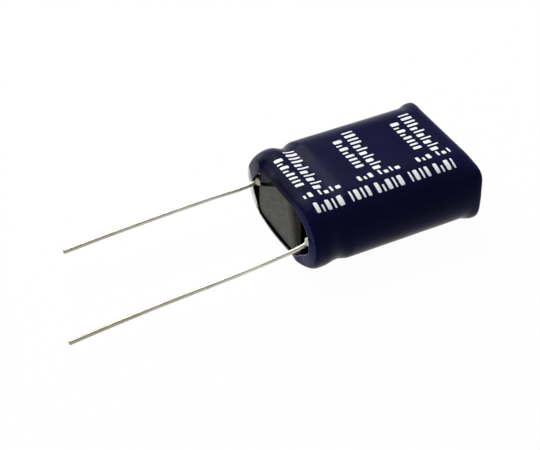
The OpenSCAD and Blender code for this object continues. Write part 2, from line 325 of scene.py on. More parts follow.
def cardFinish():
    # pressed fibre card with painted light, lighter towards its lower near corner, and painted shade, dull brown and
    # less glossy, at its near end
    material, nodes, link, shader, where = newMaterial("grey_card")
    fibre = placeGroup(nodes, link, drawn, where.outputs["Object"],
                       Stretch=board["fibreStretch"], Scale=board["fibres"])
    tone = placeMottle(nodes, link, where, board)
    colour = rampColour(nodes, link, tone.outputs["Mask"], board["dark"], board["light"])
    # painted light towards the lower near corner
    colour = mixByAttribute(nodes, link, "paintedLight", colour, board["paintedLight"])
    # painted shade at the near end
    colour = mixByAttribute(nodes, link, "nearEndShade", colour, board["nearEndShade"])
    link(colour, shader.inputs["Base Color"])
    link(rampValue(nodes, link, fibre.outputs["Mask"], *board["rough"]), shader.inputs["Roughness"])
    # less gloss in the painted shade
    glossByAttribute(nodes, link, shader, "nearEndShade", board["gloss"], board["nearEndShadeGloss"])
    addBump(nodes, link, shader, fibre.outputs["Height"], board["bump"], relief["soft"])
    return material


def softFinish(name, dark, light, rough, gloss, broad, fine, bump):
    # plain non-metal: rubber, thin film, paper and tape
    material, nodes, link, shader, where = newMaterial(name)
    tone = placeMottle(nodes, link, where, {"broad": broad, "fine": fine, "share": soft["share"]})
    link(rampColour(nodes, link, tone.outputs["Mask"], dark, light), shader.inputs["Base Color"])
    spread = soft["roughSpread"]
    link(rampValue(nodes, link, tone.outputs["Mask"], rough - spread, rough + spread), shader.inputs["Roughness"])
    shader.inputs["Specular IOR Level"].default_value = gloss
    addBump(nodes, link, shader, tone.outputs["Height"], bump, relief["soft"])
    return material


finish = {
    "film": filmFinish(),
    "ink": inkFinish(),
    "card": cardFinish(),
    # each metal: dark and light tone, stretch of its drawing lines, and limits of its roughness
    "tinned": wireFinish("tinned_wire", (0.46, 0.45, 0.39), (0.74, 0.73, 0.65), (1.0, 0.02, 1.0), 0.44, 0.56),
    "solder": wireFinish("dull_solder", (0.42, 0.42, 0.41), (0.60, 0.60, 0.58), (1.0, 1.0, 1.0), 0.40, 0.52),
    "aluminium": wireFinish("drawn_aluminium", (0.70, 0.71, 0.72), (0.83, 0.84, 0.85), (1.0, 0.04, 1.0), 0.28, 0.42),
    # each soft material: dark and light tone, roughness, gloss, broad and fine scale, and bump
    "rubber": softFinish(
        "black_rubber", (0.006, 0.006, 0.006), (0.012, 0.012, 0.012), 0.62, 0.2, 500.0, 7000.0, 0.25),
    # the cells' film is near black so that the gap inside the mouth shows black; this black is painted shade
    "cellFilm": softFinish(
        "dark_cell_film", (0.004, 0.004, 0.005), (0.008, 0.008, 0.010), 0.34, 0.2, 160.0, 2600.0, 0.1),
    "winding": softFinish(
        "wound_paper", (0.46, 0.42, 0.33), (0.66, 0.62, 0.52), 0.75, 0.3, 500.0, 6000.0, 0.3),
    "tape": softFinish(
        "amber_tape", (0.42, 0.27, 0.05), (0.56, 0.38, 0.08), 0.35, 0.4, 300.0, 3000.0, 0.1),
}
print("finishes made:", len(finish))


# outer sleeve

# millimetres, but for shares and for turns in degrees; a pair holds the two limits of a smooth step
sleeve = {
    "radius": 4.25, "front": 0.02, "filmThickness": 0.15,
    # lip: depth and length at the middle, and how they change towards the near end and towards the flats
    "lipDepth": 0.54, "lipDepthNear": -0.26, "lipDepthFlat": 0.22, "lipFace": 0.14,
    "lipLength": 1.25, "lipLengthNear": -0.70, "lipLengthFlat": 0.30, "lipPower": 1.8,
    "lipLean": 0.20, "lipLeanLow": -0.08, "lipDepthLow": -0.30, "lipLeanUnder": 0.42, "lipDepthUnder": -0.44,
    "lowLimits": (0.2, 1.0), "underNear": (4.2, 2.8), "underFar": (6.0, 4.4),
    "lipBack": 0.17, "lipBackUpper": -0.3, "upperLimits": (-0.4, 0.3),
    "lipBow": -0.27, "lipBowAt": -0.2, "lipBowReach": 6.2,
    # neck: place, half widths before and behind, and depth
    "neckAt": 3.72, "neckTilt": 0.14, "neckFront": 1.75, "neckFrontNear": 0.25, "neckBack": 1.45,
    "neckDepth": 0.34, "neckDepthNear": -0.10, "neckOnFlat": 0.30, "neckBackFlat": 1.3, "neckLimits": (6.6, 1.2),
    # mouth: half heights above and below, reach at the two ends, and ripples as height, crests and shift
    "mouthTop": 3.05, "mouthBottom": 3.36, "mouthRight": 2.87, "mouthRightLower": 2.45,
    "mouthLeftUpper": 1.78, "mouthLeftLower": 2.62, "leftLimits": (-0.75, 0.7), "rightLimits": (-0.1, -0.75),
    "rightShare": (3.0, 6.4), "leftShare": (0, 0.6), "leftPower": 0.25,
    "mouthRipples": [(0.012, 16, 0.4), (0.005, 42, 0.0)],
    # flap of film over the upper far corner of the mouth
    "flapFrom": -4.10, "flapSide": 0.32, "flapInside": 0.08, "flapTip": 1.23, "flapRise": 0.68,
    "flapDepth": 0.85, "flapLength": -0.05, "flapLean": -0.10, "flapOn": (-6.0, -3.8), "flapOff": (-0.4, -3.2),
    "flapRipples": [(0.03, 21, 0.0)],
    # a crease pressed into the near lip
    "creaseAt": 9.05, "creaseWidth": 0.20, "creaseDepth": 0.14,
    # wall: sag between the cells, waves all over, and puckers at the neck and the lip
    "sag": 0.05, "sagFrom": (1.0, 5.0), "sagTo": (21.0, 18.0), "wave": 0.005,
    "pucker": 0.005, "puckerCrests": 76, "puckerNeck": 0.7, "puckerLipAt": 0.2, "puckerLip": 0.5,
    # closed end: radius of the edge, more of it along the top and less at the pulled corners, which also stand out
    "backRadius": 0.42, "backRadiusTop": 0.25, "backRadiusCorner": -0.24, "topPower": 16,
    "backFlare": 0.32, "backFlareFrom": (19.4, 20.6),
    "shoulderFlare": 0.56, "shoulderFlareFrom": (18.6, 20.8), "shoulderAt": 49, "shoulderWidth": 18,
    "backFold": 0.80, "foldRipples": [(0.10, 12, 0.5), (0.05, 30, 0.0)], "foldLift": 0.015, "foldCrests": 17,
    # grid: rows from the mouth to the closed end, columns round the film, and how far its cut edges stand out
    "faceRows": 13, "lipRows": 25, "neckRows": 40, "neckEnd": 5.6, "wallRows": 40, "wallStart": 5.9,
    "backRows": 10, "foldRows": 7, "columns": 400, "mouthEdge": 0.4, "foldEdge": 0.3,
    # pale tone, partly pale cut and whitened film and mostly painted highlight and painted reflection: the far rim of
    # the mouth by its turn, the far lip, the cut edges and the back edge
    "rimFrom": (-68, -80), "rimTo": (-172, -150), "rimLow": (-92, -110), "rimFace": 0.2, "rimFaceLow": 0.7,
    "rimRoll": 0.9, "rimRollFrom": 5, "rimFade": (12, 3), "farPale": 0.03, "farLimits": (-0.6, -0.95),
    "cutPale": 0.15, "cutLimits": (-4.9, -4.4), "foldPale": 0.5,
    "backPale": 0.032, "backPaleRipple": 0.008, "backPaleCrests": 9, "backPaleStart": 0.2,
    # bluer tone, partly painted highlight, and painted shade: shares, limits round the film, and rows behind the
    # lip's face
    "thinnedAndHighlight": 0.6, "thinnedHighlightLimits": (0.2, 0.9), "thinnedHighlightRows": 10,
    "shadeUpper": 0.5, "shadeFrom": (-6.5, -4.5), "shadeTo": (5.2, 2.0), "shadeRows": (40, 16),
    "shadeUnder": 0.9, "shadeInside": 12,
}
arcLength = np.pi * sleeve["radius"]
girth = 4 * pack["halfPitch"] + 2 * arcLength


def filmFrame(u):
    # u is the distance round the film from the middle of the top flat, positive towards +X
    # two flats joined by two half circles: gives the centre x, and the outward direction in x and z
    side = np.where(u < 0, -1.0, 1.0)
    away = np.abs(u)
    half = pack["halfPitch"]
    turn = np.clip((away - half) / sleeve["radius"], 0, np.pi)
    beyond = np.where(away < half + arcLength, side * half, side * (2 * half + arcLength - away))
    return np.where(away < half, u, beyond), side * np.sin(turn), np.cos(turn)


def turnOf(u):
    # turn of the outward direction from the top, in degrees, positive towards +X
    centre, outX, outZ = filmFrame(u)
    return np.degrees(np.arctan2(outX, outZ))


def ripple(u, crests, shift=0.0):
    # a sine wave with a whole number of crests round the film, so that it closes on itself
    return np.sin(2 * np.pi * crests * u / girth + shift)


def ripples(u, waves):
    # sum of several ripples, each with its height, crests and shift
    return sum(height * ripple(u, crests, shift) for height, crests, shift in waves)


def nearness(u):
    # -1 at the far end of the oval, 1 at the near end
    centre, outX, outZ = filmFrame(u)
    return (centre + sleeve["radius"] * outX) / (pack["halfPitch"] + sleeve["radius"])


def mouthOval(u):
    # the mouth's edge without its flap: shallow folds above and below, deeper ones at the two ends
    centre, outX, outZ = filmFrame(u)
    flat = sleeve["mouthBottom"] + (sleeve["mouthTop"] - sleeve["mouthBottom"]) * (1 + outZ) / 2
    left = sleeve["mouthLeftLower"]
    left = left + (sleeve["mouthLeftUpper"] - left) * smoothStep(*sleeve["leftLimits"], outZ)
    right = sleeve["mouthRight"]
    right = right + (sleeve["mouthRightLower"] - right) * smoothStep(*sleeve["rightLimits"], outZ)
    # how soon the flat's fold gives way to the end's, in each quarter of the oval
    out = np.abs(outX)
    shareRight = np.where(outZ > 0, out, smoothStep(*sleeve["rightShare"], girth / 2 - np.abs(u)))
    shareLeft = np.where(outZ > 0, out ** sleeve["leftPower"], smoothStep(*sleeve["leftShare"], out))
    return np.where(u > 0, flat + (right - flat) * shareRight, flat + (left - flat) * shareLeft)


def flapSlant(u):
    # the flap's lower edge rises from its tip
    return sleeve["flapTip"] + sleeve["flapRise"] * np.abs(u - sleeve["flapFrom"])


def mouthRadius(u):
    # the oval with a ragged edge, and a slanting flap over its upper far corner
    edge = mouthOval(u) + ripples(u, sleeve["mouthRipples"])
    slant = flapSlant(u) + ripples(u, sleeve["flapRipples"])
    start = sleeve["flapFrom"]
    onFlap = smoothStep(start - sleeve["flapSide"], start + sleeve["flapInside"], u) * (u < 0)
    return np.where(onFlap > 0, np.minimum(edge, edge + (slant - edge) * onFlap), edge)


def flapShare(u):
    # 1 where the flap hangs from the lip, 0 away from it
    return smoothStep(*sleeve["flapOn"], u) * smoothStep(*sleeve["flapOff"], u)


def lowShare(u):
    # 1 at the lower far corner of the oval, 0 away from it; 0.7 brings the slanting direction's length to about 1
    centre, outX, outZ = filmFrame(u)
    return smoothStep(*sleeve["lowLimits"], -0.7 * (outX + outZ))


def underShare(u):
    # 1 along the bottom flat of the oval, 0 away from it
    away = girth / 2 - np.abs(u)
    return np.where(u > 0, smoothStep(*sleeve["underNear"], away), smoothStep(*sleeve["underFar"], away))


def lipLean(u):
    # slope of the lip's front face, which leans back from the mouth's edge, most along the bottom
    lean = sleeve["lipLean"] + sleeve["flapLean"] * flapShare(u)
    return lean + sleeve["lipLeanLow"] * lowShare(u) + sleeve["lipLeanUnder"] * underShare(u)


def lipBow(u):
    # the lower rim bows forward about the middle of the bottom flat
    across = np.where(u > 0, 1, -1) * (girth / 2 - np.abs(u))
    return sleeve["lipBow"] * smoothStep(sleeve["lipBowReach"], 0, np.abs(across - sleeve["lipBowAt"]))


def lipFront(u):
    # the mouth's edge bows forward along the bottom, and at the far end lies back below and a little forward above
    upper = smoothStep(*sleeve["upperLimits"], filmFrame(u)[2])
    back = sleeve["lipBack"] * (1 + (sleeve["lipBackUpper"] - 1) * upper) * np.clip(-nearness(u), 0, 1) ** 3
    return sleeve["front"] + back + lipBow(u)


def lipShape(u):
    # the lip is sharp at the near end and a long soft roll at the far one
    # front is the place where the roll begins
    near = nearness(u)
    flat = filmFrame(u)[2] ** 2
    onFlap = flapShare(u)
    under = underShare(u)
    edge = mouthOval(u)
    edge = np.minimum(edge, edge + (flapSlant(u) - edge) * onFlap)
    depth = sleeve["lipDepth"] + sleeve["lipDepthNear"] * near + sleeve["lipDepthFlat"] * flat
    depth = depth + sleeve["flapDepth"] * onFlap
    depth = depth + sleeve["lipDepthLow"] * lowShare(u) * (1 - under) + sleeve["lipDepthUnder"] * under
    depth = np.minimum(depth, sleeve["radius"] - sleeve["lipFace"] - edge)
    length = sleeve["lipLength"] + sleeve["lipLengthNear"] * near + sleeve["lipLengthFlat"] * flat
    length = length + sleeve["flapLength"] * onFlap
    front = lipFront(u) + lipLean(u) * (sleeve["radius"] - depth - edge)
    return depth, length, front


def backCorners(u):
    # the film is pulled tight over three corners of the closed end: two opposite ones and the upper near shoulder
    centre, outX, outZ = filmFrame(u)
    corner = np.clip(outZ * outX * -2, 0, 1) ** 2
    shoulder = hill(turnOf(u), sleeve["shoulderAt"], sleeve["shoulderWidth"])
    return corner, shoulder


def backEdge(u):
    # radius of the closed end's edge
    top = np.clip(filmFrame(u)[2], 0, 1) ** sleeve["topPower"]
    pulled = np.maximum(*backCorners(u))
    return sleeve["backRadius"] + sleeve["backRadiusTop"] * top + sleeve["backRadiusCorner"] * pulled


def neckDip(u, s):
    # one cosine wave, longer in front of its middle than behind it
    # where the film bridges the two cells it is shallower, longer behind, and squared
    centre, outX, outZ = filmFrame(u)
    near = nearness(u)
    away = np.minimum(np.abs(u), girth / 2 - np.abs(u))
    flat = smoothStep(*sleeve["neckLimits"], away)
    share = 1 + (sleeve["neckOnFlat"] - 1) * flat
    at = sleeve["neckAt"] + sleeve["neckTilt"] * (outZ - outX)
    width = np.where(s < at, sleeve["neckFront"] + sleeve["neckFrontNear"] * near,
                     sleeve["neckBack"] + sleeve["neckBackFlat"] * flat)
    phase = np.clip((s - at) / width, -1, 1)
    wave = ((1 + np.cos(np.pi * phase)) / 2) ** (1 + flat)
    return share * (sleeve["neckDepth"] + sleeve["neckDepthNear"] * near) * wave


def filmRadius(u, s):
    # radius = full radius - superelliptical lip - neck - sag of the flats - waves - puckers + flared back corners
    centre, outX, outZ = filmFrame(u)
    depth, length, front = lipShape(u)
    power = sleeve["lipPower"]
    reach = np.clip((front + length - s) / length, 0, 1)
    lip = depth * (1 - (1 - reach ** power) ** (1 / power))
    sag = sleeve["sag"] * (1 - (np.abs(centre) / pack["halfPitch"]) ** 2)
    sag = sag * smoothStep(*sleeve["sagFrom"], s) * smoothStep(*sleeve["sagTo"], s)
    # broad waves that turn as they run along the pack, and fine pleats where the film shrinks most
    waves = sleeve["wave"] * (2 + ripple(u, 13, 0.7 * s) * ripple(u, -4, 0.8 * s) + ripple(u, 6, 1.0 - 1.3 * s))
    pleats = hill(s, sleeve["neckAt"], sleeve["puckerNeck"]) + hill(s, sleeve["puckerLipAt"], sleeve["puckerLip"])
    puckers = sleeve["pucker"] * (1 + ripple(u, sleeve["puckerCrests"])) * np.abs(outX) * pleats
    corner, shoulder = backCorners(u)
    flare = sleeve["backFlare"] * corner * smoothStep(*sleeve["backFlareFrom"], s)
    flare = flare + sleeve["shoulderFlare"] * shoulder * smoothStep(*sleeve["shoulderFlareFrom"], s)
    return sleeve["radius"] - lip - neckDip(u, s) - sag - waves - puckers + flare


def filmPoint(u, s, radius):
    centre, outX, outZ = filmFrame(u)
    return np.stack([centre + radius * outX, s - pack["length"] / 2, pack["axisHeight"] + radius * outZ], -1)


def surfaceNormal(points):
    # cross product of the steps along and round the film, the round one closed on itself
    along = np.gradient(points, axis=0)
    around = np.roll(points, -1, axis=1) - np.roll(points, 1, axis=1)
    normal = np.cross(around, along)
    return normal / np.linalg.norm(normal, axis=-1, keepdims=True)


def sleeveRows(u):
    # s and radius of the outside's rows: lip's front face, lip's roll, neck, wall, back edge and back fold
    depth, length, front = lipShape(u)
    back = backEdge(u)
    end = pack["length"]
    mouth = mouthRadius(u)
    face = np.linspace(0, 1, sleeve["faceRows"] + 1)[:-1, None]
    faceRadius = mouth + (sleeve["radius"] - depth - mouth) * face
    faceS = front - lipLean(u) * (sleeve["radius"] - depth - faceRadius)
    faceS = np.maximum(faceS, sleeve["front"] + lipBow(u))
    crease = hill(u, sleeve["creaseAt"], sleeve["creaseWidth"]) * np.sin(np.pi * face)
    faceS = faceS + sleeve["creaseDepth"] * crease
    turn = np.linspace(-np.pi / 2, 0, sleeve["lipRows"] + 1)[:-1, None]
    lipS = front + length * (1 + np.sin(turn))
    share = np.linspace(0, 1, sleeve["neckRows"])[:, None]
    neckS = (front + length) * (1 - share) + sleeve["neckEnd"] * share
    start = sleeve["wallStart"]
    wallS = start + (end - back - start) * np.linspace(0, 1, sleeve["wallRows"])[:, None]
    curve = np.linspace(0, np.pi / 2, sleeve["backRows"] + 1)[1:, None]
    backS = end - back + back * np.sin(curve)
    wallEnd = filmRadius(u, wallS[-1])
    backRadius = wallEnd - back * (1 - np.cos(curve))
    fold = np.linspace(0, 1, sleeve["foldRows"] + 1)[1:, None]
    foldRadius = wallEnd - back - (sleeve["backFold"] + ripples(u, sleeve["foldRipples"])) * fold
    foldS = end - sleeve["foldLift"] * (1 + ripple(u, sleeve["foldCrests"])) * fold
    wall = [filmRadius(u, part) for part in (lipS, neckS, wallS)]
    s = np.vstack([faceS, lipS, neckS, wallS, backS, foldS])
    return s, np.vstack([faceRadius, *wall, backRadius, foldRadius])


def sleeveTones(u, rows, shape):
    # shares of the film's other colours: the first row is the mouth's cut edge, then come the rows of the outside
    face = sleeve["faceRows"]
    row = np.arange(rows)[:, None]
    outside = slice(1, rows + 1)
    near = nearness(u)
    turn = turnOf(u)
    # pale at the cut edges, partly as painted highlight; painted highlight round the far and lower rim of the mouth,
    # painted reflection on the far lip, and a little paler along the back edge, partly whitened film and partly
    # painted reflection
    paleAndHighlight = np.zeros(shape)
    rim = smoothStep(*sleeve["rimFrom"], turn) * smoothStep(*sleeve["rimTo"], turn)
    fadeEnd, fadeStart = sleeve["rimFade"]
    fade = smoothStep(face + fadeEnd, face + fadeStart, row)
    onFace = sleeve["rimFace"] + sleeve["rimFaceLow"] * smoothStep(*sleeve["rimLow"], turn)
    onRoll = onFace + (sleeve["rimRoll"] - onFace) * smoothStep(sleeve["rimRollFrom"], face, row)
    farLip = sleeve["farPale"] * smoothStep(*sleeve["farLimits"], near)
    paleAndHighlight[outside] = fade * np.maximum(rim * onRoll, farLip)
    offFlap = 1 - smoothStep(*sleeve["cutLimits"], u) * (u < 0)
    paleAndHighlight[:2] = np.maximum(onFace * rim, sleeve["cutPale"] * offFlap)
    paleAndHighlight[rows:rows + 2] = sleeve["foldPale"]
    first = rows - sleeve["backRows"] - sleeve["foldRows"]
    start = sleeve["backPaleStart"]
    swell = np.sin(np.linspace(start, np.pi - start, sleeve["backRows"] + 2))[:, None]
    pale = sleeve["backPale"] + sleeve["backPaleRipple"] * ripple(u, sleeve["backPaleCrests"])
    paleAndHighlight[first:first + len(swell)] = pale * swell
    # bluer round the near lip, where the film is drawn thin, and partly a painted highlight there
    thinnedAndHighlight = np.zeros(shape)
    thinnedAndHighlight[outside] = sleeve["thinnedAndHighlight"] * smoothStep(*sleeve["thinnedHighlightLimits"], near)
    thinnedAndHighlight[outside] *= smoothStep(face + sleeve["thinnedHighlightRows"], face, row)
    # painted shade: darker and less glossy along the lower rim, inside too, and less so along the upper lip
    paintedShade = np.zeros(shape)
    upperLip = sleeve["shadeUpper"] * smoothStep(*sleeve["shadeFrom"], u) * smoothStep(*sleeve["shadeTo"], u)
    shadeEnd, shadeStart = sleeve["shadeRows"]
    paintedShade[outside] = upperLip * smoothStep(face + shadeEnd, face + shadeStart, row)
    under = sleeve["shadeUnder"] * underShare(u)
    paintedShade[:face + 1] = np.maximum(paintedShade[:face + 1], under)
    paintedShade[-sleeve["shadeInside"]:] = under
    return {"paleAndHighlight": paleAndHighlight.reshape(-1), "thinnedAndHighlight": thinnedAndHighlight.reshape(-1), "paintedShade": paintedShade.reshape(-1)}


def makeSleeve():
    u = (np.arange(sleeve["columns"]) + 0.5) / sleeve["columns"] * girth - girth / 2
    s, radius = sleeveRows(u)
    outer = filmPoint(np.broadcast_to(u, s.shape), s, radius)
    inner = outer - sleeve["filmThickness"] * surfaceNormal(outer)
    # rounded cut edges stand a little past the film's two ends
    mouthEdge = (outer[0] + inner[0]) / 2 + sleeve["mouthEdge"] * (outer[0] - outer[1])
    foldEdge = (outer[-1] + inner[-1]) / 2 + sleeve["foldEdge"] * (outer[-1] - outer[-2])
    # the inside has every second row of the outside
    points = np.concatenate([mouthEdge[None], outer, foldEdge[None], inner[::-2]])
    tones = sleeveTones(u, len(outer), points.shape[:2])
    faces = gridFaces(len(points), len(u), True, True)
    piece = makePiece("sleeve_film", points.reshape(-1, 3), faces, finish["film"], tones)
    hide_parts("outer_sleeve")
    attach(piece, "root")


makeSleeve()
print("sleeve made")


# printed marks: rows of plain bars

marks = {
    "pitch": 7.4, "first": 2.6, "repeats": 3, "from": 0.5, "to": 19.6,
    "thickness": 0.010, "sunk": 0.03, "cornerPower": 6.0, "cells": 11,
    # bars: gap, thinnest width and what the wave adds, and the share of the height of the short ones
    "gap": 0.27, "thin": 0.26, "wide": 0.40, "widthRate": 1.7, "short": 0.66, "shortRate": 2.9, "shortBelow": -0.5,
    # each row: across or along the pack, start, place, height, number of bars and a shift of the pattern
    "rows": [
        ("across", -4.7, 0.95, 1.60, 11, 0.4),
        ("across", -3.8, -0.85, 1.20, 8, 1.7),
        ("along", -2.5, 3.6, 0.95, 3, 0.9),
        ("along", 0.1, 3.6, 0.95, 4, 2.6),
        ("along", -4.5, 5.6, 1.60, 4, 0.2),
        ("along", -1.4, 5.6, 1.60, 5, 1.1),
    ],
}


def markBoxes():
    # bar widths and heights follow two sine waves along each row; gives centre and half size round and along the film
    boxes = []
    for way, start, place, height, count, shift in marks["rows"]:
        order = np.arange(count)
        width = marks["thin"] + marks["wide"] * np.abs(np.sin(marks["widthRate"] * order + shift)) ** 3
        full = np.sin(marks["shortRate"] * order + shift) > marks["shortBelow"]
        tall = np.where(full, 1.0, marks["short"]) * height
        middle = start + np.cumsum(width + marks["gap"]) - width / 2
        for repeat in range(marks["repeats"]):
            origin = marks["first"] + repeat * marks["pitch"]
            if way == "across":
                boxes.append(np.stack([middle, origin + place - (height - tall) / 2, width / 2, tall / 2], 1))
            else:
                boxes.append(np.stack([place + (height - tall) / 2, origin + middle, tall / 2, width / 2], 1))
    boxes = np.concatenate(boxes)
    start, stop = boxes[:, 1] - boxes[:, 3], boxes[:, 1] + boxes[:, 3]
    return boxes[(start > marks["from"]) & (stop < marks["to"])]


def makeMarks():
    # a square grid is drawn in to a superellipse, laid on the film, and its border is sunk below the surface
    boxes = markBoxes()
    line = np.linspace(-1, 1, marks["cells"])
    a, b = np.meshgrid(line, line)
    power = marks["cornerPower"]
    reach = np.maximum(np.abs(a), np.abs(b))
    border = reach == 1
    # the middle point, where both lengths are 0, stays where it is
    tiny = 1e-9
    squeeze = reach / np.maximum((np.abs(a) ** power + np.abs(b) ** power) ** (1 / power), tiny)
    a, b = a * squeeze, b * squeeze
    u = boxes[:, 0, None, None] + boxes[:, 2, None, None] * a
    s = boxes[:, 1, None, None] + boxes[:, 3, None, None] * b
    surface = filmRadius(u, s)
    rise = np.where(border, -marks["sunk"], marks["thickness"])
    top = filmPoint(u, s, surface + rise)
    under = filmPoint(u, s, surface - marks["sunk"])
    cells = marks["cells"]
    one = gridFaces(cells, cells, False, False)
    count = cells * cells
    faces = np.concatenate([one, one[:, ::-1] + count])
    faces = (faces[None] + 2 * count * np.arange(len(boxes))[:, None, None]).reshape(-1, 4)
    points = np.stack([top.reshape(len(boxes), count, 3), under.reshape(len(boxes), count, 3)], 1).reshape(-1, 3)
    piece = makePiece("printed_marks", points, faces, finish["ink"])
    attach(piece, "root")
    print("printed marks:", len(boxes))


makeMarks()


# leads

leads = {
    "wireRadius": 0.25, "footRadius": 0.62, "footFrom": 0.52, "footTo": 0.98, "chamferLength": 0.06,
    "chamferDepth": 0.07, "wave": 0.004, "waveRate": 0.9, "waveFrom": (2, 5),
    "sides": 40, "rings": 190, "ringPower": 1.6,
    # stains at the two welds and darkening towards the cut ends: shares, and the distances over which they fade
    "positiveStain": 0.05, "negativeStain": 0.50, "weldReach": (2.2, 0.7), "endDarkening": 0.60, "endReach": (6, 26),
    # points of each lead's middle line: s, and the height over the cells' axes
    "positive": [(1.16, 0.0), (0.75, -0.10), (0.3, -0.28), (-3.2, -0.87), (-6.0, -1.16), (-10.2, -1.47),
                 (-15.7, -1.78), (-22.4, -2.32), (-26.62, -2.757)],
    "negative": [(1.16, 0.0), (0.75, -0.04), (0.3, -0.12), (-0.85, -0.29), (-5.3, -0.38), (-12.6, -0.67),
                 (-18.2, -0.99), (-22.65, -1.31)],
}


def smoothPath(points, count):
    # cubic Hermite curve through the points, sampled evenly along its chords, closer together near the start
    points = np.array(points, float)
    chord = np.concatenate([[0], np.cumsum(np.linalg.norm(np.diff(points, axis=0), axis=1))])
    slope = np.gradient(points, chord, axis=0)
    along = chord[-1] * np.linspace(0, 1, count) ** leads["ringPower"]
    k = np.clip(np.searchsorted(chord, along, side="right") - 1, 0, len(chord) - 2)
    step = chord[k + 1] - chord[k]
    t = ((along - chord[k]) / step)[:, None]
    step = step[:, None]
    path = ((2 * t ** 3 - 3 * t ** 2 + 1) * points[k] + (t ** 3 - 2 * t ** 2 + t) * step * slope[k]
            + (3 * t ** 2 - 2 * t ** 3) * points[k + 1] + (t ** 3 - t ** 2) * step * slope[k + 1])
    return path, along


def makeLead(name, points, x, stain, node):
    # round section carried along the path: radius = wire + a blunt foot that narrows as a cubic + faint waves
    path, along = smoothPath(points, leads["rings"])
    wire = leads["wireRadius"]
    radius = wire + (leads["footRadius"] - wire) * (1 - smoothStep(leads["footFrom"], leads["footTo"], along))
    radius = radius + leads["wave"] * np.sin(leads["waveRate"] * along) * smoothStep(*leads["waveFrom"], along)
    tangent = np.gradient(path, along, axis=0)
    tangent = tangent / np.linalg.norm(tangent, axis=1, keepdims=True)
    # the cut end: a small chamfer and a flat face; the weld end is closed flat on the terminal
    cut = path[-1:] + leads["chamferLength"] * tangent[-1:]
    path = np.concatenate([path[:1], path, cut, cut])
    tangent = np.concatenate([tangent[:1], tangent, tangent[-1:], tangent[-1:]])
    radius = np.concatenate([[0.0], radius, [wire - leads["chamferDepth"]], [0.0]])
    angle = np.arange(leads["sides"]) / leads["sides"] * 2 * np.pi
    ring = radius[:, None] * np.ones_like(angle)
    lift = ring * np.sin(angle)
    px = x + ring * np.cos(angle)
    ps = path[:, :1] - tangent[:, 1:] * lift
    pz = path[:, 1:] + tangent[:, :1] * lift
    points = np.stack([px, ps - pack["length"] / 2, pz + pack["axisHeight"]], -1)
    faces = gridFaces(len(points), len(angle), False, True)
    along = np.concatenate([along[:1], along, along[-1:], along[-1:]])
    # stained at the weld, and darker and browner towards the cut end
    stained = stain * smoothStep(*leads["weldReach"], along)
    stained = stained + leads["endDarkening"] * smoothStep(*leads["endReach"], along)
    stained = stained[:, None] * np.ones_like(angle)
    piece = makePiece(name, points.reshape(-1, 3), faces, finish["tinned"], {"stained": stained.reshape(-1)})
    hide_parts(node)
    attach(piece, "root")


makeLead("positive_wire", leads["positive"], pack["leadX"], leads["positiveStain"], "positive_lead")
makeLead("negative_wire", leads["negative"], -pack["leadX"], leads["negativeStain"], "negative_lead")
print("leads made")


# insulator card

card = {
    "front": 0.22, "thickness": 0.25, "halfLength": 4.85, "halfHeight": 3.15, "corner": 0.8, "edge": 0.06,
    "bow": -0.11, "cutAt": -4.70, "cutHeight": 0.24, "cutSlope": 0.68,
    "columns": 240, "cornerSteps": 24, "faceRings": 14, "edgeRings": 6,
    # painted light and painted shade: limits along the card, and what the height adds to them
    "paintedLightLimits": (-0.6, 1.3), "paintedLightSlope": -0.8, "nearEndShadeLimits": (0.42, 0.86), "nearEndShadeSlope": 0.15,
}


def roundedOutline(halfLength, halfHeight, corner, count):
    # four quarter circles joined by straight lines, sampled evenly round the outline
    turn = np.linspace(0, np.pi / 2, card["cornerSteps"])
    quarter = np.arange(4)[:, None]
    cx = np.array([1, -1, -1, 1])[:, None] * (halfLength - corner)
    cz = np.array([1, 1, -1, -1])[:, None] * (halfHeight - corner)
    x = (cx + corner * np.cos(turn + quarter * np.pi / 2)).reshape(-1)
    z = (cz + corner * np.sin(turn + quarter * np.pi / 2)).reshape(-1)
    x, z = np.append(x, x[0]), np.append(z, z[0])
    run = np.concatenate([[0], np.cumsum(np.hypot(np.diff(x), np.diff(z)))])
    at = np.arange(count) / count * run[-1]
    return np.interp(at, run, x), np.interp(at, run, z)


